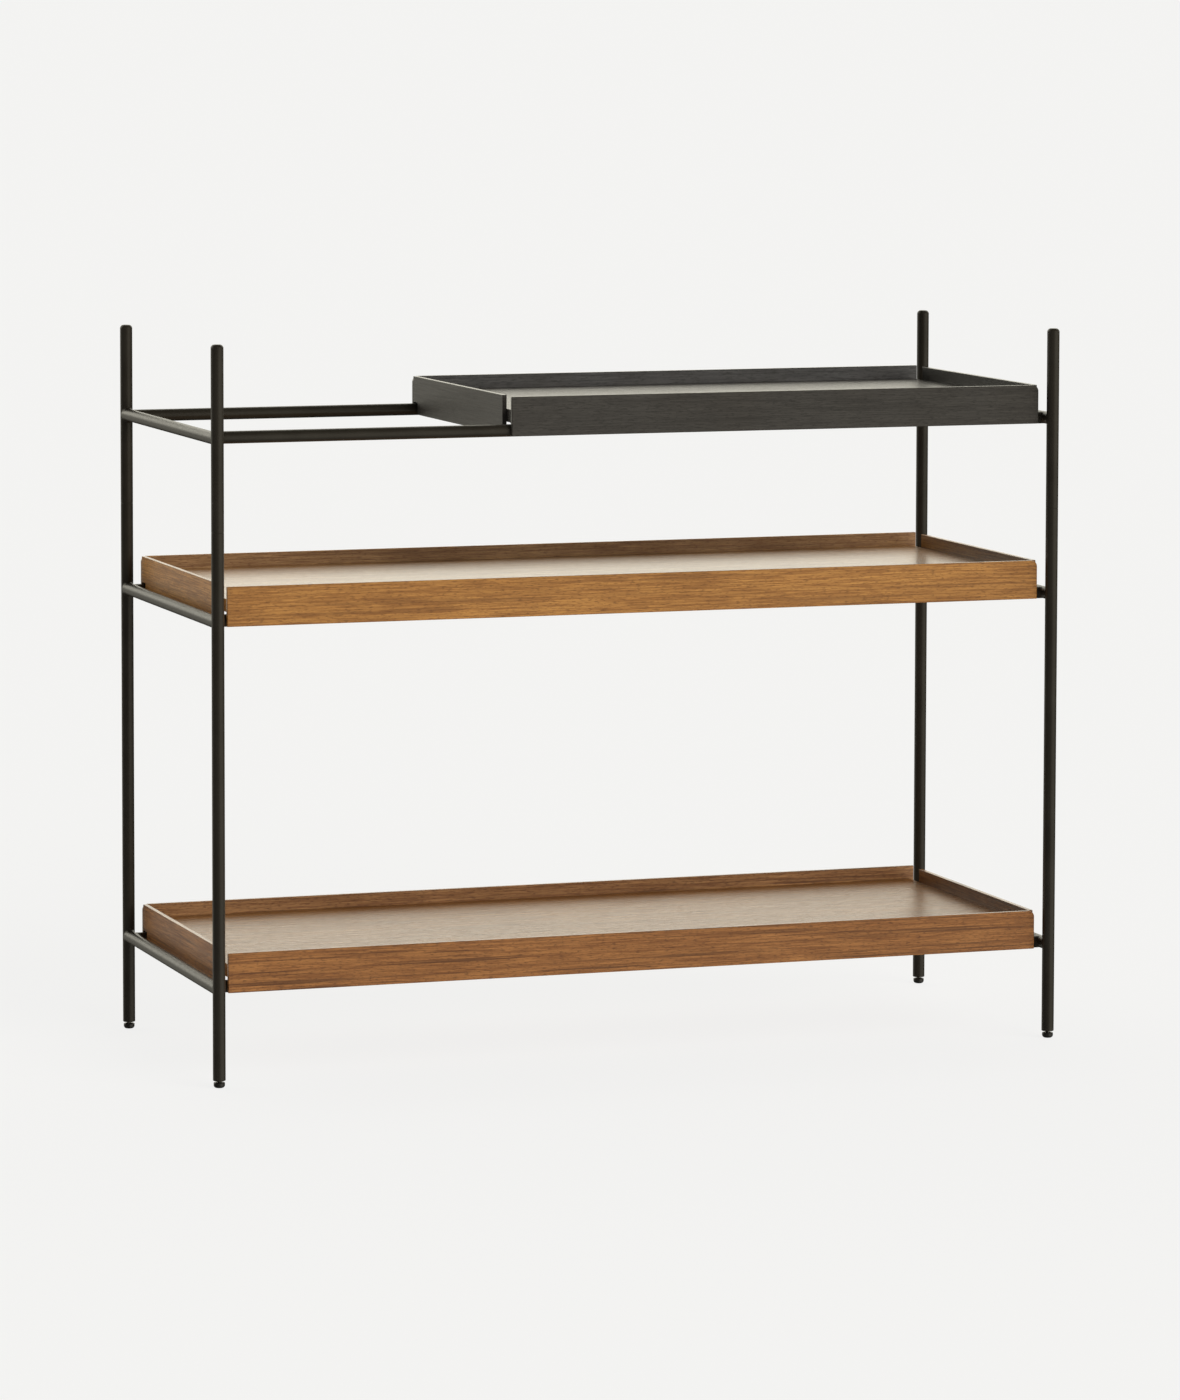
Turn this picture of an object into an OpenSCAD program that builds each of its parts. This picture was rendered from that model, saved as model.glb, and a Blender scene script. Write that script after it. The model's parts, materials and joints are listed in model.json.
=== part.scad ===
// Tray shelf: a slender rod frame in two bolted sections, three lift-out trays and four levelling feet.
// Millimetres, +Z up, origin on the floor at the centre of the footprint, +X to the right, +Y to the back.

/* [Frame] */
// Overall width, over the posts
frame_w = 1000; // [800:10:1200]
// Overall depth, over the posts
frame_d = 400; // [340:10:500]
// Overall height, floor to the top of the posts
frame_h = 815; // [780:5:950]
// Outside diameter of the posts
post_d = 14; // [14:0.5:16]
// Outside diameter of the short rails between a front and a back post
side_rail_d = 13.9; // [11:0.1:13.9]
// Outside diameter of the long rails that carry the trays
long_rail_d = 13.8; // [10:0.1:13.8]
// Wall of every tube in the frame
tube_wall = 1.5; // [1:0.25:2]
// How far the long rails sit inside the post centres
rail_inset = 22; // [20:0.5:24]

/* [Levels] */
// Height of the lower rails, at their centres
low_z = 108; // [80:1:160]
// Height of the middle rails, at their centres
mid_z = 511.5; // [400:0.5:540]
// Height of the top rails, at their centres
top_z = 712; // [680:1:740]
// Height of the joint between the lower and the upper frame
joint_z = 610; // [590:1:640]

/* [Trays] */
// Gap from the outside of the frame to the end of a tray
tray_end_gap = 20.5; // [20:0.5:30]
// Gap from the outside of the frame to the front or back face of a tray
tray_side_gap = 16.5; // [15.5:0.5:18]
// Width of the short top tray
top_tray_w = 632; // [400:1:800]
// Height of the lips above the rail centres
lip_up = 38; // [30:1:60]
// Depth of the lips below the rail centres
lip_down = 6; // [0:1:12]
// Thickness of the lips
lip_t = 5; // [2:0.5:5]
// Thickness of the tray floors
panel_t = 14.5; // [8:0.5:18]
// Height of the underside of a tray floor above the rail centres
panel_lift = 8; // [8:0.5:10]
// Length of the open slot at two opposite corners of each tray
slot_len = 34; // [15:1:45]
// Radius of the top edge at the two closed corners
corner_r = 7; // [3:1:10]

/* [Feet] */
// Diameter of a glide
glide_d = 12.5; // [10:0.5:13]
// Height of a glide
glide_h = 6; // [5:0.5:10]
// Bare thread between a glide and its post, as delivered
neck_h = 2; // [2:0.5:6]
// Diameter of the levelling thread
foot_stud_d = 6; // [5:1:8]
// Thread above the bare neck, inside the insert
foot_stud_grip = 22; // [18:1:30]

/* [Hidden] */
$fn = 64;

// Post and rail centres
post_x = (frame_w - post_d) / 2;
post_y = (frame_d - post_d) / 2;
rail_y = post_y - rail_inset;
post_foot_z = glide_h + neck_h;

// Frame joints and ends
tube_bore_r = post_d / 2 - tube_wall;
joint_chamfer = 0.4;
cap_corner_r = 4;
cap_plug_len = 14;
bush_len = 20;
post_stud_d = 8;
post_stud_len = 34;
insert_len = 28;
cope_gap = 0.05;
thread_clearance = 0.08;

// Trays
tray_x = frame_w / 2 - tray_end_gap;
tray_y = frame_d / 2 - tray_side_gap;
top_tray_left = tray_x - top_tray_w;
panel_y = tray_y - lip_t;
lip_h = lip_up + lip_down;
notch_len = 16;
strip_w = 16;
strip_gap = 0.3;
strip_edge = 2;
strip_end_gap = 0.5;
strip_t = panel_lift - long_rail_d / 2 - strip_gap;

// Feet
glide_round = 3.2;
glide_crown_r = 0.8;
stud_sink = 3.5;

frame_c = "#2b2824";
steel_c = "#9b9a96";
rubber_c = "#1d1c1b";
walnut_c = "#9a6a3e";
walnut_dark_c = "#84563a";
stained_c = "#46433d";
strip_c = "#3a3733";

// ---------- Frame ----------

// A round tube from z0 to z1, with a small bevel outside at each end that meets another tube
module tube(r, z0, z1, bevel0 = 0, bevel1 = 0) {
    difference() {
        union() {
            translate([0, 0, z0]) cylinder(h = bevel0, r1 = r - bevel0, r2 = r);
            translate([0, 0, z0 + bevel0]) cylinder(h = z1 - z0 - bevel0 - bevel1, r = r);
            translate([0, 0, z1 - bevel1]) cylinder(h = bevel1, r1 = r, r2 = r - bevel1);
        }
        translate([0, 0, z0 - 1]) cylinder(h = z1 - z0 + 2, r = r - tube_wall);
    }
}

module at_post(sx, sy) translate([sx * post_x, sy * post_y, 0]) children();

module at_posts() for (sx = [-1, 1], sy = [-1, 1]) at_post(sx, sy) children();

module lower_post(sx, sy) color(frame_c)
    at_post(sx, sy) tube(post_d / 2, post_foot_z, joint_z, joint_chamfer, joint_chamfer);

module upper_post(sx, sy) color(frame_c)
    at_post(sx, sy) tube(post_d / 2, joint_z, frame_h - cap_corner_r, joint_chamfer, 0);

// Plug welded into the top of a post, with a softly rounded crown
module post_cap(sx, sy) color(frame_c) at_post(sx, sy) {
    translate([0, 0, frame_h - cap_corner_r - cap_plug_len])
        cylinder(h = cap_plug_len, r = tube_bore_r);
    translate([0, 0, frame_h - cap_corner_r]) rotate_extrude() {
        square([post_d / 2 - cap_corner_r, cap_corner_r]);
        translate([post_d / 2 - cap_corner_r, 0]) intersection() {
            circle(r = cap_corner_r);
            square(cap_corner_r);
        }
    }
}

// Threaded bush pressed into a tube end, running from z0 to z1
module bush(z0, z1, bore_d) difference() {
    translate([0, 0, z0]) cylinder(h = z1 - z0, r = tube_bore_r);
    translate([0, 0, z0 - 1]) cylinder(h = z1 - z0 + 2, d = bore_d);
}

module lower_bushes() color(steel_c) at_posts() bush(joint_z - bush_len, joint_z, post_stud_d);

module upper_bushes() color(steel_c) at_posts() bush(joint_z, joint_z + bush_len, post_stud_d);

module foot_inserts() color(steel_c)
    at_posts() bush(post_foot_z, post_foot_z + insert_len, foot_stud_d + 2 * thread_clearance);

// Studs that join the upper frame to the lower frame
module post_studs() color(steel_c)
    at_posts() translate([0, 0, joint_z - post_stud_len / 2])
        cylinder(h = post_stud_len, d = post_stud_d);

// A short rail, coped to the posts at both ends
module side_rail(sx, z) color(frame_c) difference() {
    translate([sx * post_x, post_y, z]) rotate([90, 0, 0]) cylinder(h = 2 * post_y, d = side_rail_d);
    translate([sx * post_x, post_y + 1, z]) rotate([90, 0, 0])
        cylinder(h = 2 * post_y + 2, d = side_rail_d - 2 * tube_wall);
    for (sy = [-1, 1]) translate([sx * post_x, sy * post_y, z - post_d])
        cylinder(h = 2 * post_d, d = post_d + 2 * cope_gap);
}

// A long rail, coped to the side rails at both ends
module long_rail(sy, z) color(frame_c) difference() {
    translate([-post_x, sy * rail_y, z]) rotate([0, 90, 0]) cylinder(h = 2 * post_x, d = long_rail_d);
    translate([-post_x - 1, sy * rail_y, z]) rotate([0, 90, 0])
        cylinder(h = 2 * post_x + 2, d = long_rail_d - 2 * tube_wall);
    for (sx = [-1, 1]) translate([sx * post_x, sy * rail_y + post_d, z]) rotate([90, 0, 0])
        cylinder(h = 2 * post_d, d = side_rail_d + 2 * cope_gap);
}

// ---------- Trays ----------
// A tray is drawn round the rail centres at height z, from x0 to x1.
// Its left lip stops short at the front and its right lip stops short at the back.

// Outline of a board standing on its long edge, with one rounded top corner at its far end
module lip_outline(len, r) {
    square([len - r, lip_h]);
    square([len, lip_h - r]);
    translate([len - r, lip_h - r]) circle(r = r);
}

// Outline of an end board: it starts at the slot and ends at the closed corner, over the rail
module end_lip_outline() difference() {
    len = 2 * tray_y - slot_len;
    lip_outline(len, corner_r);
    translate([len - lip_t - notch_len, -1]) square([notch_len + lip_t + 1, lip_down + panel_lift + 1]);
    translate([len - lip_t, -1]) square([lip_t + 1, lip_h + 2]);
}

module tray_panel(x0, x1, z, c) color(c)
    translate([x0 + lip_t, -panel_y, z + panel_lift])
        cube([x1 - x0 - 2 * lip_t, 2 * panel_y, panel_t]);

module tray_front_lip(x0, x1, z, c) color(c)
    translate([x0, -tray_y + lip_t, z - lip_down]) rotate([90, 0, 0])
        linear_extrude(height = lip_t) lip_outline(x1 - x0, corner_r);

module tray_back_lip(x0, x1, z, c) color(c)
    translate([x1, tray_y - lip_t, z - lip_down]) rotate([90, 0, 180])
        linear_extrude(height = lip_t) lip_outline(x1 - x0, corner_r);

module tray_left_lip(x0, z, c) color(c)
    translate([x0, -tray_y + slot_len, z - lip_down]) rotate([90, 0, 90])
        linear_extrude(height = lip_t) end_lip_outline();

module tray_right_lip(x1, z, c) color(c)
    translate([x1, tray_y - slot_len, z - lip_down]) rotate([90, 0, -90])
        linear_extrude(height = lip_t) end_lip_outline();

// Strip under a tray floor that rests along the crown of a rail
module tray_strip(x0, x1, sy, z) color(strip_c)
    translate([x0 + lip_t + strip_end_gap, sy * (panel_y - strip_edge - strip_w / 2) - strip_w / 2,
               z + panel_lift - strip_t])
        cube([x1 - x0 - 2 * (lip_t + strip_end_gap), strip_w, strip_t]);

// ---------- Feet ----------

module foot_stud(sx, sy) color(steel_c)
    at_post(sx, sy) translate([0, 0, glide_h - stud_sink])
        cylinder(h = stud_sink + neck_h + foot_stud_grip, d = foot_stud_d);

// Bowl-shaped glide with a small flat base, a tight top edge and a socket for the stud
module foot_glide(sx, sy) color(rubber_c) at_post(sx, sy) difference() {
    rotate_extrude() difference() {
        union() {
            square([glide_d / 2 - glide_round, glide_h]);
            translate([0, glide_round]) square([glide_d / 2 - glide_crown_r, glide_h - glide_round]);
            translate([0, glide_round])
                square([glide_d / 2, glide_h - glide_round - glide_crown_r]);
            translate([glide_d / 2 - glide_round, glide_round]) circle(r = glide_round);
            translate([glide_d / 2 - glide_crown_r, glide_h - glide_crown_r])
                circle(r = glide_crown_r);
        }
        translate([-glide_d, -1]) square([glide_d, glide_h + 2]);
    }
    translate([0, 0, glide_h - stud_sink]) cylinder(h = stud_sink + 1, d = foot_stud_d);
}

// ---------- Named sub-parts ----------

module lower_post_fl() lower_post(-1, -1);
module lower_post_fr() lower_post(1, -1);
module lower_post_bl() lower_post(-1, 1);
module lower_post_br() lower_post(1, 1);

module upper_post_fl() upper_post(-1, -1);
module upper_post_fr() upper_post(1, -1);
module upper_post_bl() upper_post(-1, 1);
module upper_post_br() upper_post(1, 1);

module post_cap_fl() post_cap(-1, -1);
module post_cap_fr() post_cap(1, -1);
module post_cap_bl() post_cap(-1, 1);
module post_cap_br() post_cap(1, 1);

module low_rail_left() side_rail(-1, low_z);
module low_rail_right() side_rail(1, low_z);
module low_rail_front() long_rail(-1, low_z);
module low_rail_back() long_rail(1, low_z);

module mid_rail_left() side_rail(-1, mid_z);
module mid_rail_right() side_rail(1, mid_z);
module mid_rail_front() long_rail(-1, mid_z);
module mid_rail_back() long_rail(1, mid_z);

module top_rail_left() side_rail(-1, top_z);
module top_rail_right() side_rail(1, top_z);
module top_rail_front() long_rail(-1, top_z);
module top_rail_back() long_rail(1, top_z);

module lower_tray_panel() tray_panel(-tray_x, tray_x, low_z, walnut_dark_c);
module lower_tray_front_lip() tray_front_lip(-tray_x, tray_x, low_z, walnut_dark_c);
module lower_tray_back_lip() tray_back_lip(-tray_x, tray_x, low_z, walnut_dark_c);
module lower_tray_left_lip() tray_left_lip(-tray_x, low_z, walnut_dark_c);
module lower_tray_right_lip() tray_right_lip(tray_x, low_z, walnut_dark_c);
module lower_tray_front_strip() tray_strip(-tray_x, tray_x, -1, low_z);
module lower_tray_back_strip() tray_strip(-tray_x, tray_x, 1, low_z);

module middle_tray_panel() tray_panel(-tray_x, tray_x, mid_z, walnut_c);
module middle_tray_front_lip() tray_front_lip(-tray_x, tray_x, mid_z, walnut_c);
module middle_tray_back_lip() tray_back_lip(-tray_x, tray_x, mid_z, walnut_c);
module middle_tray_left_lip() tray_left_lip(-tray_x, mid_z, walnut_c);
module middle_tray_right_lip() tray_right_lip(tray_x, mid_z, walnut_c);
module middle_tray_front_strip() tray_strip(-tray_x, tray_x, -1, mid_z);
module middle_tray_back_strip() tray_strip(-tray_x, tray_x, 1, mid_z);

module top_tray_panel() tray_panel(top_tray_left, tray_x, top_z, stained_c);
module top_tray_front_lip() tray_front_lip(top_tray_left, tray_x, top_z, stained_c);
module top_tray_back_lip() tray_back_lip(top_tray_left, tray_x, top_z, stained_c);
module top_tray_left_lip() tray_left_lip(top_tray_left, top_z, stained_c);
module top_tray_right_lip() tray_right_lip(tray_x, top_z, stained_c);
module top_tray_front_strip() tray_strip(top_tray_left, tray_x, -1, top_z);
module top_tray_back_strip() tray_strip(top_tray_left, tray_x, 1, top_z);

module foot_stud_fl() foot_stud(-1, -1);
module foot_stud_fr() foot_stud(1, -1);
module foot_stud_bl() foot_stud(-1, 1);
module foot_stud_br() foot_stud(1, 1);

module foot_glide_fl() foot_glide(-1, -1);
module foot_glide_fr() foot_glide(1, -1);
module foot_glide_bl() foot_glide(-1, 1);
module foot_glide_br() foot_glide(1, 1);

lower_post_fl();
lower_post_fr();
lower_post_bl();
lower_post_br();
upper_post_fl();
upper_post_fr();
upper_post_bl();
upper_post_br();
post_cap_fl();
post_cap_fr();
post_cap_bl();
post_cap_br();
post_studs();
lower_bushes();
upper_bushes();
foot_inserts();
low_rail_left();
low_rail_right();
low_rail_front();
low_rail_back();
mid_rail_left();
mid_rail_right();
mid_rail_front();
mid_rail_back();
top_rail_left();
top_rail_right();
top_rail_front();
top_rail_back();
lower_tray_panel();
lower_tray_front_lip();
lower_tray_back_lip();
lower_tray_left_lip();
lower_tray_right_lip();
lower_tray_front_strip();
lower_tray_back_strip();
middle_tray_panel();
middle_tray_front_lip();
middle_tray_back_lip();
middle_tray_left_lip();
middle_tray_right_lip();
middle_tray_front_strip();
middle_tray_back_strip();
top_tray_panel();
top_tray_front_lip();
top_tray_back_lip();
top_tray_left_lip();
top_tray_right_lip();
top_tray_front_strip();
top_tray_back_strip();
foot_stud_fl();
foot_glide_fl();
foot_stud_fr();
foot_glide_fr();
foot_stud_bl();
foot_glide_bl();
foot_stud_br();
foot_glide_br();
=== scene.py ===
"""Looks for a free-standing shelf of black round rods that carries three lipped wooden trays.

Everything is in metres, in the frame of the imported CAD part: X is the width, -Y the front, and
Z is up from the floor. The CAD rods, caps, fittings, glides and strips stay and get finishes. The
tray boards and the feet's studs are rebuilt in finer detail, and the welds and seams are added.
"""

import json
import math

import bmesh
import bpy
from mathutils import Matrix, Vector


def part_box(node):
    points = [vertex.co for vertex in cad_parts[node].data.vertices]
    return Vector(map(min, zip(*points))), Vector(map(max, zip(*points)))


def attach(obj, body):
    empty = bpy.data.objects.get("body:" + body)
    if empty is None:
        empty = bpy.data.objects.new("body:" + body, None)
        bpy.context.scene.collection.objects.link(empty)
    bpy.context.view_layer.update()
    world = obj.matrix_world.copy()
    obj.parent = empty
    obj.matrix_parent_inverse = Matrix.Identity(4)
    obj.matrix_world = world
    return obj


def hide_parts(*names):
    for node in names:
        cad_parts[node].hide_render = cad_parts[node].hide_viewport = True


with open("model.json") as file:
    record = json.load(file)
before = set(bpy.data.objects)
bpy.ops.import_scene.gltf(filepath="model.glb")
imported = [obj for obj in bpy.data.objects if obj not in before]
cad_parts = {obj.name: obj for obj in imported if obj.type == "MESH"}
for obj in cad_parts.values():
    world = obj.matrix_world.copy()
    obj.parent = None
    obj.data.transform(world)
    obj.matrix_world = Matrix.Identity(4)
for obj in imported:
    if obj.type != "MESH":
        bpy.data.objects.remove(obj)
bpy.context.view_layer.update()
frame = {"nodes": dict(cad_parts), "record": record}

MM = 0.001
X, Y, Z = 0, 1, 2

# ---------- Sizes from the frame ----------


def box_centre(node_name):
    """The middle of a CAD node's box."""
    lo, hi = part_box(node_name)
    return (lo + hi) / 2


def rod_radius(node_name, axis):
    """A rod's radius, which is half of its node's extent along an axis across the rod."""
    lo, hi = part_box(node_name)
    return (hi[axis] - lo[axis]) / 2


POST_R = rod_radius("lower_post_br", X)
SIDE_RAIL_R = rod_radius("low_rail_right", X)
LONG_RAIL_R = rod_radius("low_rail_back", Y)
POST_X, POST_Y = box_centre("lower_post_br").xy
RAIL_Y = box_centre("low_rail_back").y
RAIL_Z = {level: box_centre(f"{level}_rail_back").z for level in ("low", "mid", "top")}
JOINT_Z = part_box("lower_post_br")[1].z  # where the upper posts stand on the lower posts

CORNERS = {"fl": (-1, -1), "fr": (1, -1), "bl": (-1, 1), "br": (1, 1)}

# ---------- Camera ----------

SENSOR = 36.0  # mm along the picture's long side
LENS = 150.3591  # mm
SHIFT = (0.063857, -0.171429)  # shares of the picture's long side
CAMERA_AT = (-2.1983, -6.2907, 1.2048)
CAMERA_TURN = (85.343, -0.046, -18.403)  # degrees

camera_data = bpy.data.cameras.new("camera")
camera_data.sensor_width = SENSOR
camera_data.lens = LENS
camera_data.shift_x, camera_data.shift_y = SHIFT
camera_data.clip_start = 0.1
camera_data.clip_end = 2000  # past the studio floor's end
camera = bpy.data.objects.new("camera", camera_data)
camera.location = CAMERA_AT
camera.rotation_euler = [math.radians(a) for a in CAMERA_TURN]
bpy.context.scene.collection.objects.link(camera)
bpy.context.scene.camera = camera
bpy.context.scene.view_settings.view_transform = "Standard"

# ---------- Node helpers ----------


def node(tree, kind, inputs=None, **settings):
    """A shader node with its settings and inputs. An input is a value or another node's socket."""
    made = tree.nodes.new("ShaderNode" + kind)
    for key, value in settings.items():
        setattr(made, key, value)
    for key, value in (inputs or {}).items():
        socket = made.inputs[key]
        if isinstance(value, bpy.types.NodeSocket):
            tree.links.new(value, socket)
        else:
            socket.default_value = value
    return made


def maths(tree, operation, a, b=0.0):
    return node(tree, "Math", {0: a, 1: b}, operation=operation).outputs[0]


def ranged(tree, value, low, high, to_low=0.0, to_high=1.0):
    """value moved from low..high to to_low..to_high, smoothly, and held at the ends."""
    inputs = {"Value": value, 1: low, 2: high, 3: to_low, 4: to_high}
    return node(tree, "MapRange", inputs, interpolation_type="SMOOTHSTEP").outputs["Result"]


def mixed(tree, share, a, b, blend="MIX"):
    """Colour b laid over colour a by a share. Each is a socket, or red, green and blue."""
    made = node(tree, "Mix", data_type="RGBA", blend_type=blend)
    for socket, value in ((made.inputs["Factor"], share), (made.inputs[6], a), (made.inputs[7], b)):
        if isinstance(value, bpy.types.NodeSocket):
            tree.links.new(value, socket)
        elif socket.type == "RGBA":
            socket.default_value = (*value, 1)
        else:
            socket.default_value = value
    return made.outputs[2]


def noise(tree, place, scale, detail=3.0, rough=0.5, distortion=0.0):
    inputs = {"Vector": place, "Scale": scale, "Detail": detail, "Roughness": rough,
              "Distortion": distortion}
    return node(tree, "TexNoise", inputs).outputs["Fac"]


def new_material(name, **constants):
    """A material with one Principled shader, whose constants are set on its own sockets."""
    made = bpy.data.materials.new(name)
    made.use_nodes = True
    shader = made.node_tree.nodes["Principled BSDF"]
    for key, value in constants.items():
        shader.inputs[key.replace("_", " ")].default_value = value
    return made, made.node_tree, shader


def connect(tree, shader, colour, rough, height, bump, depth):
    """Joins the three maps to the shader. bump is the relief's strength and depth its height."""
    tree.links.new(colour, shader.inputs["Base Color"])
    tree.links.new(rough, shader.inputs["Roughness"])
    inputs = {"Height": height, "Strength": bump, "Distance": depth}
    normal = node(tree, "Bump", inputs).outputs["Normal"]
    tree.links.new(normal, shader.inputs["Normal"])


def object_place(tree, stretch=(1, 1, 1), shift=(0, 0, 0)):
    """The piece's own coordinates in metres, stretched and shifted."""
    place = node(tree, "TexCoord").outputs["Object"]
    return node(tree, "Mapping", {"Vector": place, "Scale": stretch, "Location": shift}).outputs[0]


# ---------- Metal, plastic and rubber ----------

COAT_DEEP = (0.0170, 0.0144, 0.0108)
COAT_CLOUD = (0.0220, 0.0190, 0.0146)
COAT_DUST = (0.060, 0.054, 0.044)
COAT_GLINT = (1, 0.98, 0.93, 1)  # the tint of what the coat reflects
ZINC = (0.52, 0.51, 0.49)
GLIDE_BLACK = (0.010, 0.009, 0.008)
STRIP_BLACK = (0.030, 0.028, 0.026)


def powder_coat(name):
    """Satin black powder coat: a fine orange-peel skin, with faint cloudy changes of depth."""
    made, tree, shader = new_material(name, Specular_IOR_Level=0.3, Specular_Tint=COAT_GLINT)
    place = object_place(tree)
    peel = noise(tree, place, 1500, 2.0)
    cloud = noise(tree, place, 22, 3.0)
    dust = ranged(tree, noise(tree, place, 260, 5.0, 0.65), 0.60, 0.78)
    colour = mixed(tree, ranged(tree, cloud, 0.3, 0.7), COAT_DEEP, COAT_CLOUD)
    colour = mixed(tree, maths(tree, "MULTIPLY", dust, 0.10), colour, COAT_DUST)
    rough = ranged(tree, noise(tree, place, 420, 3.0), 0.25, 0.75, 0.30, 0.40)
    connect(tree, shader, colour, rough, peel, 0.10, 0.12 * MM)
    return made


def bare_steel(name, tone):
    """Dull plated steel, stained in patches, with turning marks round the rod's axis."""
    made, tree, shader = new_material(name, Metallic=1.0)
    rings = noise(tree, object_place(tree, (0.15, 0.15, 6.0)), 700, 4.0, 0.6)
    stain = noise(tree, object_place(tree), 180, 4.0)
    stained = tuple(c * 0.72 for c in tone)
    colour = mixed(tree, ranged(tree, stain, 0.35, 0.7), tone, stained)
    rough = ranged(tree, rings, 0.3, 0.7, 0.26, 0.46)
    connect(tree, shader, colour, rough, rings, 0.2, 0.05 * MM)
    return made


def moulded(name, tone, grain, rough_low, rough_high):
    """Moulded rubber or plastic with a spark-eroded grain, scuffed paler in patches."""
    made, tree, shader = new_material(name, Specular_IOR_Level=0.5)
    place = object_place(tree)
    skin = noise(tree, place, grain, 3.0, 0.6)
    scuff = ranged(tree, noise(tree, place, grain * 0.12, 5.0, 0.6), 0.52, 0.72)
    scuffed = tuple(c * 1.9 + 0.004 for c in tone)
    colour = mixed(tree, maths(tree, "MULTIPLY", scuff, 0.5), tone, scuffed)
    rough = ranged(tree, skin, 0.3, 0.7, rough_low, rough_high)
    connect(tree, shader, colour, rough, skin, 0.3, 0.1 * MM)
    return made


coat = powder_coat("coat_black")
steel = bare_steel("steel_plated", ZINC)
glide_plastic = moulded("glide_plastic", GLIDE_BLACK, 2600, 0.28, 0.45)
strip_rubber = moulded("strip_rubber", STRIP_BLACK, 1800, 0.62, 0.85)

# ---------- Wood ----------

# Each has the light wood, the darker figure, the dark streaks and the pores
GOLDEN = ((0.455, 0.217, 0.055), (0.270, 0.114, 0.029), (0.150, 0.060, 0.018),
          (0.125, 0.048, 0.015))
REDDISH = ((0.330, 0.143, 0.042), (0.195, 0.075, 0.022), (0.080, 0.030, 0.011),
           (0.075, 0.028, 0.011))
BLACKED = ((0.055, 0.050, 0.044), (0.040, 0.036, 0.032), (0.026, 0.023, 0.020),
           (0.018, 0.016, 0.014))
GLINT_GAIN = 1.3  # how much brighter than the light wood its flecks of painted glint are
WHITE = (1, 1, 1, 1)
LACQUER_ROUGH = 0.20

# Every tray's material slot, its tones, and how strong its pores and streaks are. shift moves the
# pattern, so that no two trays have the same figure.
WOODS = {
    "lower": ("walnut_lower", REDDISH, dict(pores=0.60, streaks=0.75, shift=0.37)),
    "middle": ("walnut_middle", GOLDEN, dict(pores=0.55, streaks=0.40, shift=1.91)),
    "top": ("stained_top", BLACKED, dict(pores=0.60, streaks=0.45, shift=3.13)),
}

# How strong the tones are on a face of a long lip, and of a side lip. Three values are the red's,
# the green's and the blue's own. The outer and inner strengths are painted light and shade, set
# face
# by face for how the light falls: the side lips' inner faces are darker as painted shade, and the
# long lips' inner faces are paler and greyer as a painted sheen.
STRENGTHS = {
    "lower": {"outer": (0.92, 1.06), "inner": ((1.09, 1.34, 2.05), 0.50), "edge": (0.85, 0.85)},
    "middle": {"outer": (0.87, 1.04), "inner": ((0.84, 1.05, 2.00), 0.50), "edge": (0.85, 0.85)},
    "top": {"outer": (0.69, 0.68), "inner": ((1.55, 1.70, 1.98), 0.34), "edge": (0.72, 0.72)},
}
# The edges are smoother than the faces, and the inner faces of the side lips shine less
EDGE_FINISH = dict(rough=(0.20, 0.30), shine=0.5)
FINISHES = {("edge", X): EDGE_FINISH, ("edge", Y): EDGE_FINISH, ("inner", Y): dict(shine=0.2)}

# How strong the red, green and blue of the tones are on a floor, and how the floors shine. The
# floor strengths are partly the wood's own tone and partly a painted sheen: they lift the floors'
# tones to stand in for part of their pale grazing reflection.
FLOOR_STRENGTHS = {"lower": (0.90, 0.93, 0.76), "middle": (0.90, 0.93, 0.98),
                   "top": (0.92, 0.92, 1.00)}
FLOOR_FINISHES = {
    "lower": dict(rough=(0.26, 0.33), tint=(1, 0.95, 0.82, 1)),
    "middle": dict(rough=(0.32, 0.41), lacquer=0.54),
    "top": dict(rough=(0.34, 0.42), lacquer=0.22),
}
FLOOR_SURFACE = dict(shine=0.5, bump=0.9)


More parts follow.
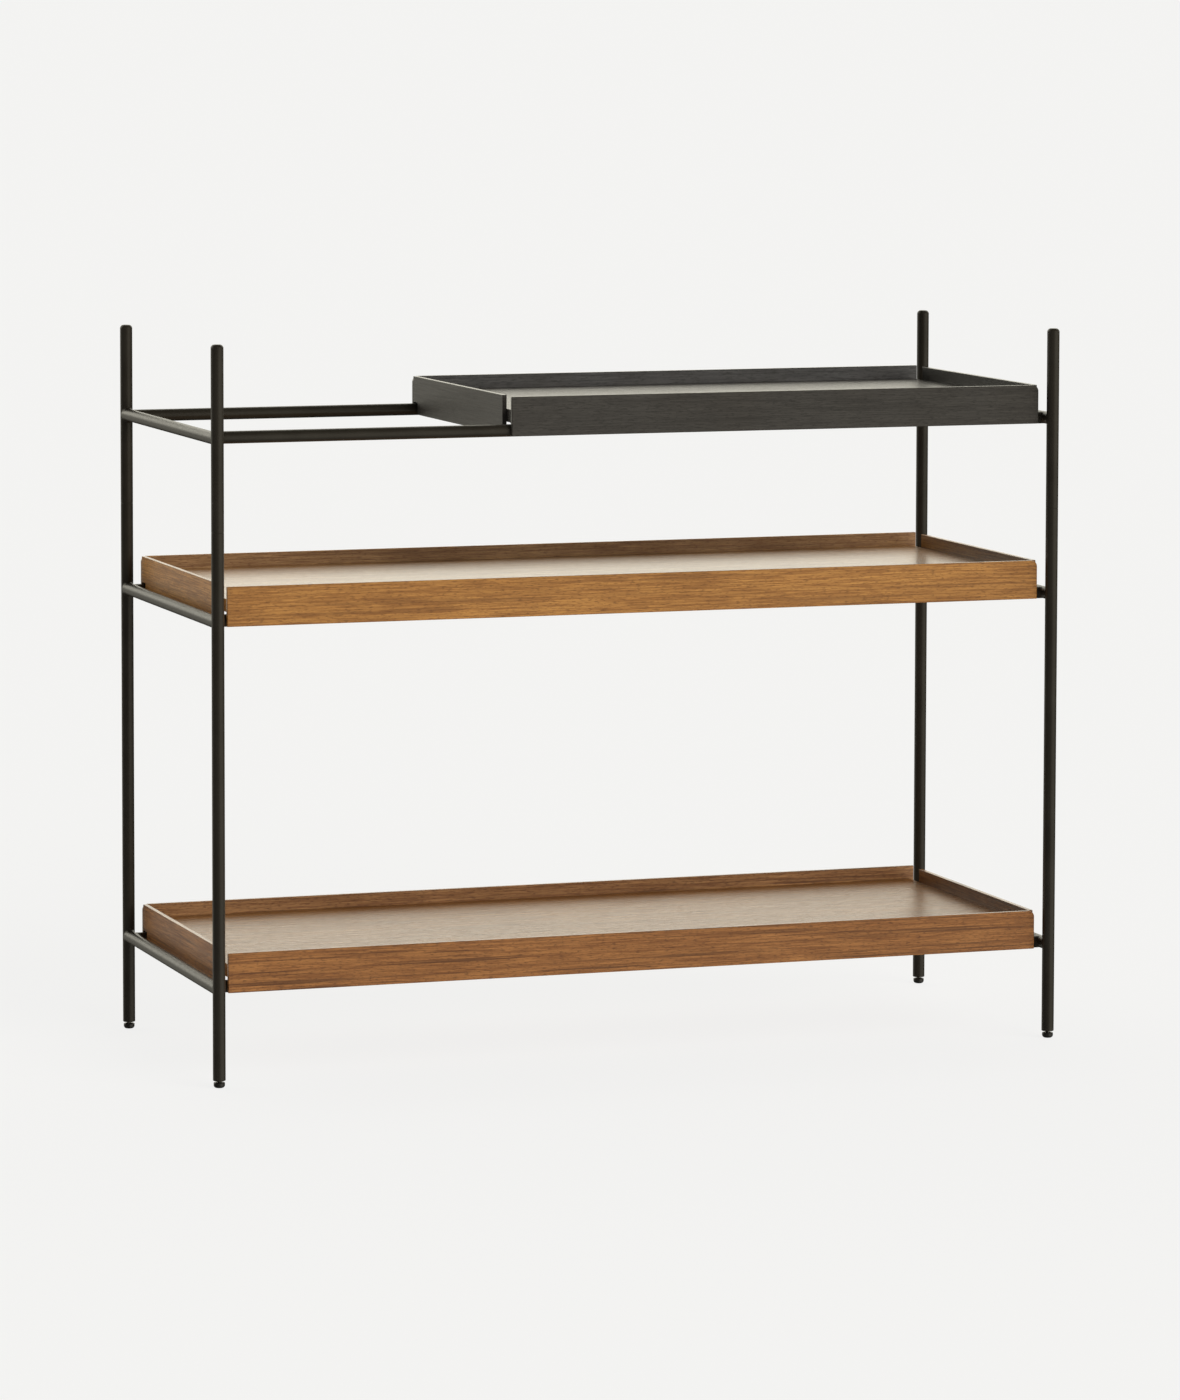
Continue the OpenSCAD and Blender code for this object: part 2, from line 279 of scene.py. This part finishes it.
def veneer(name, axis, tones, pores, streaks, shift, rough=(0.36, 0.46), shine=0.35, bump=0.3,
           tint=WHITE, lacquer=0.0):
    """Open-grained veneer, whose grain runs along an axis, X or Y."""
    light, figure, streak, pore = tones
    painted_glint = tuple(c * GLINT_GAIN for c in light)
    made, tree, shader = new_material(name, Specular_IOR_Level=shine, Specular_Tint=tint,
                                     Coat_Weight=lacquer, Coat_Roughness=LACQUER_ROUGH)

    def along(share):
        """Coordinates that are drawn out along the grain. A small share draws them out far."""
        scale = [1.0, 1.0, 1.0]
        scale[axis] = share
        return object_place(tree, scale, (shift, shift * 0.7, shift * 0.4))

    # The broad figure, the fine grain lines, the flecks of painted glint and the fibres of the
    # surface
    wave = noise(tree, along(0.16), 42, 3.0, 0.55, 0.9)
    fine = noise(tree, along(0.024), 680, 3.0, 0.6)
    glint_noise = noise(tree, along(0.04), 780, 3.0, 0.55)
    fibre = noise(tree, along(0.025), 1500, 2.0)
    # The dark streaks, the short pores, and a slow change of tone across the board
    lines = ranged(tree, noise(tree, along(0.012), 330, 3.0, 0.55, 0.2), 0.54, 0.66)
    dashes = ranged(tree, noise(tree, along(0.16), 900, 3.0, 0.6), 0.53, 0.63)
    mottle = noise(tree, object_place(tree, (1, 1, 1), (shift, 0, 0)), 9, 2.0)

    colour = mixed(tree, ranged(tree, wave, 0.32, 0.68, 0.0, 0.5), light, figure)
    colour = mixed(tree, ranged(tree, fine, 0.40, 0.60, 0.0, 0.95), colour, figure)
    # Painted glints: flecks lighter than the light wood, laid along the grain as painted highlights
    colour = mixed(tree, ranged(tree, glint_noise, 0.50, 0.64, 0.0, 0.5), colour, painted_glint)
    colour = mixed(tree, maths(tree, "MULTIPLY", lines, streaks), colour, streak)
    colour = mixed(tree, maths(tree, "MULTIPLY", dashes, pores), colour, pore)
    shade = node(tree, "CombineColor", {
        0: ranged(tree, mottle, 0.3, 0.7, 0.92, 1.06),
        1: ranged(tree, mottle, 0.3, 0.7, 0.90, 1.07),
        2: ranged(tree, mottle, 0.3, 0.7, 0.88, 1.08)}).outputs[0]
    colour = mixed(tree, 1.0, colour, shade, "MULTIPLY")
    height = maths(tree, "SUBTRACT", fibre, maths(tree, "MULTIPLY", dashes, 0.9))
    gloss = ranged(tree, fine, 0.3, 0.7, *rough)
    connect(tree, shader, colour, gloss, height, bump, 0.12 * MM)
    return made


def toned(tones, strength):
    """The tones at one strength, or with their red, green and blue each at its own strength."""
    shares = strength if isinstance(strength, tuple) else (strength,) * 3
    return tuple(tuple(c * share for c, share in zip(tone, shares)) for tone in tones)


# Each face gets its own copy of a tray's wood at the strengths above, so painted light and shade
# sit in these copies
wood = {}
for tray, (slot_name, tones, options) in WOODS.items():
    for side, strengths in STRENGTHS[tray].items():
        for axis, strength in enumerate(strengths):
            name = f"{slot_name}_{side}_{'xy'[axis]}"
            finish = FINISHES.get((side, axis), {})
            wood[tray, side, axis] = veneer(name, axis, toned(tones, strength), **finish, **options)
    wood[tray, "floor", X] = veneer(f"{slot_name}_floor", X, toned(tones, FLOOR_STRENGTHS[tray]),
                                    **FLOOR_FINISHES[tray], **FLOOR_SURFACE, **options)

# ---------- CAD nodes that stay, with their finishes ----------


def finish_node(name, material):
    mesh = frame["nodes"][name].data
    mesh.materials.clear()
    mesh.materials.append(material)


for name in frame["record"]["behaviour"]["bodies"]["frame"]:
    finish_node(name, coat)
for name in ("post_studs", "lower_bushes", "upper_bushes", "foot_inserts"):
    finish_node(name, steel)
for corner in CORNERS:
    finish_node(f"foot_glide_{corner}", glide_plastic)
for tray in WOODS:
    for side in ("front", "back"):
        finish_node(f"{tray}_tray_{side}_strip", strip_rubber)

# ---------- Tray boards ----------

# The shape of the CAD's lips that their boxes don't tell
CORNER_R = 7 * MM  # rounded top corner of a lip
NOTCH_LEN = 16 * MM  # the notch over a long rail, under the closed end of a side lip
NOTCH_H = 14 * MM

LIP_EASE = 0.7 * MM
FLOOR_EASE = 0.4 * MM
SHARP = math.radians(40)  # an edge that turns more than this is eased
SQUARE = 0.999  # the least share of a flat face's normal that lies along the board's thickness
SMALL_FACE = 4e-5  # square metres. Smaller faces, such as a round corner's, are shaded smooth.


def arc(cx, cy, radius, start, end, steps):
    """Points on a circle from start to end, in degrees."""
    angles = [math.radians(start + (end - start) * i / steps) for i in range(steps + 1)]
    return [(cx + radius * math.cos(a), cy + radius * math.sin(a)) for a in angles]


def long_lip_outline(length, height):
    """A lip seen from outside: sharp at its slot end, at 0, and rounded at its closed end."""
    return [(0, 0), (length, 0),
            *arc(length - CORNER_R, height - CORNER_R, CORNER_R, 0, 90, 10), (0, height)]


def side_lip_outline(length, height, lip_t):
    """A side lip, which is notched over the long rail and rounds off as it meets the long lip."""
    stop = math.degrees(math.acos((CORNER_R - lip_t) / CORNER_R))
    return [(0, 0), (length - NOTCH_LEN, 0), (length - NOTCH_LEN, NOTCH_H), (length, NOTCH_H),
            *arc(length + lip_t - CORNER_R, height - CORNER_R, CORNER_R, stop, 90, 8), (0, height)]


def rectangle(length, height):
    return [(0, 0), (length, 0), (length, height), (0, height)]


def board(name, outline, place, thick_axis, low, high, ease, materials, outward):
    """A flat board with every edge eased.

    place turns an outline point into two coordinates, in the order of the axes that are left
    when thick_axis is taken out. materials are the outward face's, the edges' and the other
    face's. outward is 1 or -1, the outward face's side along thick_axis.
    """
    mesh = bpy.data.meshes.new(name)
    bm = bmesh.new()
    rings = []
    for depth in (low, high):
        ring = []
        for point in outline:
            at = list(place(*point))
            at.insert(thick_axis, depth)
            ring.append(bm.verts.new(at))
        rings.append(ring)
    count = len(outline)
    bm.faces.new(rings[0])
    bm.faces.new(rings[1])
    for i in range(count):
        j = (i + 1) % count
        bm.faces.new((rings[0][i], rings[0][j], rings[1][j], rings[1][i]))
    bmesh.ops.recalc_face_normals(bm, faces=bm.faces)
    sharp = [e for e in bm.edges if e.calc_face_angle(0) > SHARP]
    bmesh.ops.bevel(bm, geom=sharp, offset=ease, offset_type="OFFSET", segments=3, profile=0.5,
                    affect="EDGES", clamp_overlap=True)
    for face in bm.faces:
        side = face.normal[thick_axis] * outward
        face.material_index = 0 if side > SQUARE else 2 if side < -SQUARE else 1
        face.smooth = face.calc_area() < SMALL_FACE and abs(side) < SQUARE
    bm.to_mesh(mesh)
    bm.free()
    for material in materials:
        mesh.materials.append(material)
    made = bpy.data.objects.new(name, mesh)
    bpy.context.scene.collection.objects.link(made)
    return made


def tray_boards(tray):
    """The floor and the four lips of one tray, each in its CAD node's place."""
    slot_name, body = WOODS[tray][0], f"{tray}_tray"

    def finishes(axis):
        return [wood[tray, side, axis] for side in ("outer", "edge", "inner")]

    def settle(piece, node_name):
        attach(piece, body)
        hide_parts(node_name)

    lo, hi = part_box(f"{tray}_tray_panel")
    size = hi - lo
    piece = board(f"{tray}_floor_board", rectangle(size.x, size.y),
                  lambda u, v, lo=lo: (lo.x + u, lo.y + v), Z, lo.z, hi.z, FLOOR_EASE,
                  [wood[tray, side, X] for side in ("floor", "edge", "inner")], 1)
    settle(piece, f"{tray}_tray_panel")

    for side, outward in (("front", -1), ("back", 1)):
        lo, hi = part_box(f"{tray}_tray_{side}_lip")
        start = lo.x if side == "front" else hi.x
        piece = board(f"{tray}_{side}_lip_board", long_lip_outline(hi.x - lo.x, hi.z - lo.z),
                      lambda u, v, s=start, w=outward, lo=lo: (s - w * u, lo.z + v),
                      Y, lo.y, hi.y, LIP_EASE, finishes(X), outward)
        settle(piece, f"{tray}_tray_{side}_lip")

    for side, outward in (("left", -1), ("right", 1)):
        lo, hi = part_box(f"{tray}_tray_{side}_lip")
        start = lo.y if side == "left" else hi.y
        piece = board(f"{tray}_{side}_lip_board",
                      side_lip_outline(hi.y - lo.y, hi.z - lo.z, hi.x - lo.x),
                      lambda u, v, s=start, w=outward, lo=lo: (s - w * u, lo.z + v),
                      X, lo.x, hi.x, LIP_EASE, finishes(Y), outward)
        settle(piece, f"{tray}_tray_{side}_lip")


for tray in WOODS:
    tray_boards(tray)

# ---------- Welds ----------

WELD_LEG = 3.4 * MM  # how far a bead reaches along each rod where it is widest
WELD_LEAST = 0.12  # its reach where the rods are tangent, as a share of WELD_LEG
WELD_RIPPLE = 0.05  # how much the reach swells and shrinks on the way round, as a laid bead's does
WELD_DIP = 0.04 * MM  # how far its two ends dip under the rods' surfaces
WELD_ROUNDS, WELD_STEPS = 56, 5  # rows of points round the bead, and faces across it


def weld_ring(bm, centre, along, up, main_r, branch_r):
    """A concave weld bead where a branch rod meets a main rod at a right angle.

    centre is where the two axes cross, along is the branch's direction from there, and up is the
    main rod's. The bead is widest where the two surfaces meet squarely and narrowest where they
    are tangent.
    """
    along, up = Vector(along), Vector(up)
    side = along.cross(up)
    probe = 0.02  # radians to each side, from which the crease's direction is taken

    def on_main(s, z):
        return Vector((main_r * math.cos(s / main_r), main_r * math.sin(s / main_r), z))

    def crease(angle):
        """Where the surfaces meet: the way round the main rod, and the height along it."""
        y, z = branch_r * math.sin(angle), branch_r * math.cos(angle)
        return main_r * math.asin(max(-1.0, min(1.0, y / main_r))), z

    rows = []
    for i in range(WELD_ROUNDS):
        angle = 2 * math.pi * i / WELD_ROUNDS
        s, z = crease(angle)
        s0, z0 = crease(angle - probe)
        s1, z1 = crease(angle + probe)
        tangent = Vector((s1 - s0, z1 - z0)).normalized()
        outward = Vector((-tangent.y, tangent.x))
        if outward.dot(Vector((s, z))) < 0:
            outward = -outward
        meet = math.sin(s / main_r) * math.sin(angle)
        reach = WELD_LEG * (WELD_LEAST + (1 - WELD_LEAST) * math.sqrt(max(0.0, 1 - meet)))
        reach *= 1 + WELD_RIPPLE * math.sin(9 * angle + 1.3)
        mid = on_main(s, z)
        foot = on_main(s + outward.x * reach, z + outward.y * reach)
        neck = Vector((mid.x + reach, mid.y, mid.z))
        row = []
        for k in range(WELD_STEPS + 1):
            t = k / WELD_STEPS
            row.append(neck * (1 - t) ** 2 + mid * 2 * t * (1 - t) + foot * t * t)
        row[0] = neck - Vector((0, math.sin(angle), math.cos(angle))) * WELD_DIP
        row[-1] = foot - Vector((foot.x, foot.y, 0)).normalized() * WELD_DIP
        rows.append([bm.verts.new(Vector(centre) + along * p.x + side * p.y + up * p.z)
                     for p in row])
    for i in range(WELD_ROUNDS):
        a, b = rows[i], rows[(i + 1) % WELD_ROUNDS]
        for k in range(WELD_STEPS):
            bm.faces.new((a[k], a[k + 1], b[k + 1], b[k])).smooth = True


def add_mesh(name, bm, material, body):
    """A piece with one material, made from a bmesh, that rides on a body."""
    bmesh.ops.recalc_face_normals(bm, faces=bm.faces)
    mesh = bpy.data.meshes.new(name)
    bm.to_mesh(mesh)
    bm.free()
    mesh.materials.append(material)
    made = bpy.data.objects.new(name, mesh)
    bpy.context.scene.collection.objects.link(made)
    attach(made, body)
    return made


for level, z in RAIL_Z.items():
    bm = bmesh.new()
    for sx, sy in CORNERS.values():
        weld_ring(bm, (sx * POST_X, sy * POST_Y, z), (0, -sy, 0), (0, 0, 1), POST_R, SIDE_RAIL_R)
        weld_ring(bm, (sx * POST_X, sy * RAIL_Y, z), (-sx, 0, 0), (0, 1, 0), SIDE_RAIL_R,
                  LONG_RAIL_R)
    add_mesh(f"welds_{level}", bm, coat, "frame")

# ---------- Seams in the posts, and foot threads ----------

# A ring of wire lies in the chamfered groove where an upper post stands on a lower one
SEAM_WIRE_R = 0.28 * MM
SEAM_R = POST_R - 0.33 * MM

THREAD_PITCH = 1.0 * MM
THREAD_DEPTH = 0.55 * MM
THREAD_CHAMFER = 0.6 * MM
THREAD_SLOPE = 2.6  # how steep a flank is, in depths for one pitch
THREAD_ROUNDS = 28
ROWS_PER_PITCH = 8


def lathe(bm, axis_x, axis_y, profile, rounds=48):
    """A closed ring turned round an upright axis from (radius, height) points."""
    rows = []
    for i in range(rounds):
        a = 2 * math.pi * i / rounds
        rows.append([bm.verts.new((axis_x + r * math.cos(a), axis_y + r * math.sin(a), z))
                     for r, z in profile])
    for i in range(rounds):
        a, b = rows[i], rows[(i + 1) % rounds]
        for k in range(len(profile)):
            j = (k + 1) % len(profile)
            bm.faces.new((a[k], b[k], b[j], a[j])).smooth = True


bm = bmesh.new()
for sx, sy in CORNERS.values():
    wire = arc(SEAM_R, JOINT_Z, SEAM_WIRE_R, 0, 324, 9)  # ten points, 36 degrees apart
    lathe(bm, sx * POST_X, sy * POST_Y, wire)
add_mesh("post_seams", bm, coat, "frame")


def threaded_stud(corner):
    """The levelling stud with a real screw thread, in place of the CAD's plain rod."""
    node_name = f"foot_stud_{corner}"
    lo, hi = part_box(node_name)
    middle, outer = box_centre(node_name), rod_radius(node_name, X)
    rows = int((hi.z - lo.z) / (THREAD_PITCH / ROWS_PER_PITCH))
    bm = bmesh.new()
    grid = []
    for k in range(rows + 1):
        z = lo.z + (hi.z - lo.z) * k / rows
        from_end = min(z - lo.z, hi.z - z)
        chamfer = max(0.0, THREAD_CHAMFER - from_end)
        ring = []
        for i in range(THREAD_ROUNDS):
            a = 2 * math.pi * i / THREAD_ROUNDS
            phase = (z / THREAD_PITCH - a / (2 * math.pi)) % 1
            tooth = min(1.0, abs(phase - 0.5) * THREAD_SLOPE)
            r = outer - max(THREAD_DEPTH * tooth, chamfer)
            ring.append(bm.verts.new((middle.x + r * math.cos(a), middle.y + r * math.sin(a), z)))
        grid.append(ring)
    for k in range(rows):
        for i in range(THREAD_ROUNDS):
            j = (i + 1) % THREAD_ROUNDS
            bm.faces.new((grid[k][i], grid[k][j], grid[k + 1][j], grid[k + 1][i])).smooth = True
    bm.faces.new(grid[0])
    bm.faces.new(grid[-1])
    piece = add_mesh(f"foot_thread_{corner}", bm, steel, f"foot_{corner}")
    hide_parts(node_name)


for corner in CORNERS:
    threaded_stud(corner)

# ---------- Floor and lights ----------

FLOOR_REACH = 900  # metres to each side, so that its end looks like a far horizon
FLOOR_GLOW = 0.825
KEY_FROM = (0.40, -0.80, 0.45)  # the direction that the key light comes from
KEY_ENERGY = 2.2
KEY_SPREAD = math.radians(50)
KEY_COLOUR = (1, 0.955, 0.87)

# It lights itself, so that only a faint shadow shows on it
floor_paint = new_material("studio_floor", Base_Color=(0.10, 0.10, 0.10, 1), Roughness=1.0,
                           Specular_IOR_Level=0.0, Emission_Color=(1, 1, 0.995, 1),
                           Emission_Strength=FLOOR_GLOW)[0]
bm = bmesh.new()
bmesh.ops.create_grid(bm, x_segments=2, y_segments=2, size=FLOOR_REACH)
mesh = bpy.data.meshes.new("studio_floor")
bm.to_mesh(mesh)
bm.free()
mesh.materials.append(floor_paint)
floor = bpy.data.objects.new("studio_floor", mesh)
bpy.context.scene.collection.objects.link(floor)
floor.location.z = -0.5 * MM
floor.visible_glossy = False  # gloss shows the world's light there instead, below the horizon too

key_data = bpy.data.lights.new("key", "SUN")
key_data.energy = KEY_ENERGY
key_data.angle = KEY_SPREAD
key_data.color = KEY_COLOUR
key = bpy.data.objects.new("key", key_data)
key.rotation_euler = Vector(KEY_FROM).to_track_quat("Z", "Y").to_euler()
bpy.context.scene.collection.objects.link(key)
key.visible_glossy = False  # its reflection would turn the tray floors white from behind

# ---------- World light ----------

LIGHT_COLOUR = (1, 0.965, 0.83, 1)
BACKGROUND_COLOUR = (0.905, 0.905, 0.905, 1)  # what the camera sees past the floor's end
BACKDROP = 1.75  # the bright wall behind the shelf, at most
# A patch of light: its direction, how many degrees away it ends, up to how many it is full, and
# its strength
SOFTBOX = ((0.67, -0.74, -0.20), 50, 15, 0.95)  # wide, at the front right
FILL = ((-0.5, 0.85, -0.12), 34, 8, 0.55)  # smaller, at the back left
AMBIENT = (0.03, 0.07)  # from everywhere, below the horizon and above it

world = bpy.data.worlds.new("studio")
bpy.context.scene.world = world
world.use_nodes = True
sky = world.node_tree
sky.nodes.clear()
direction = node(sky, "TexCoord").outputs["Generated"]
parts = node(sky, "SeparateXYZ", {0: direction}).outputs


def patch(towards, edge, middle, strength):
    """Light from round one direction, full within middle degrees of it and none past edge."""
    towards = Vector(towards).normalized()
    dot = node(sky, "VectorMath", {0: direction, 1: towards}, operation="DOT_PRODUCT")
    low, high = math.cos(math.radians(edge)), math.cos(math.radians(middle))
    return ranged(sky, dot.outputs["Value"], low, high, 0.0, strength)


def backdrop_light():
    """The backdrop's light, which rises from the horizon behind and fades out overhead."""
    behind = ranged(sky, parts["Y"], 0.0, 0.5)
    foot = ranged(sky, parts["Z"], -0.01, 0.13)
    head = ranged(sky, parts["Z"], 0.55, 0.85, 1, 0)
    shape = maths(sky, "MULTIPLY", behind, maths(sky, "MULTIPLY", foot, head))
    return maths(sky, "MULTIPLY", shape, BACKDROP)


glow = backdrop_light()
for light in (patch(*FILL), patch(*SOFTBOX), ranged(sky, parts["Z"], -0.2, 0.3, *AMBIENT)):
    glow = maths(sky, "ADD", glow, light)
soft = node(sky, "Background", {"Color": LIGHT_COLOUR, "Strength": glow}).outputs[0]
plain = node(sky, "Background", {"Color": BACKGROUND_COLOUR, "Strength": 1.0}).outputs[0]
seen = node(sky, "LightPath").outputs["Is Camera Ray"]
both = node(sky, "MixShader", {0: seen, 1: soft, 2: plain}).outputs[0]
node(sky, "OutputWorld", {"Surface": both})
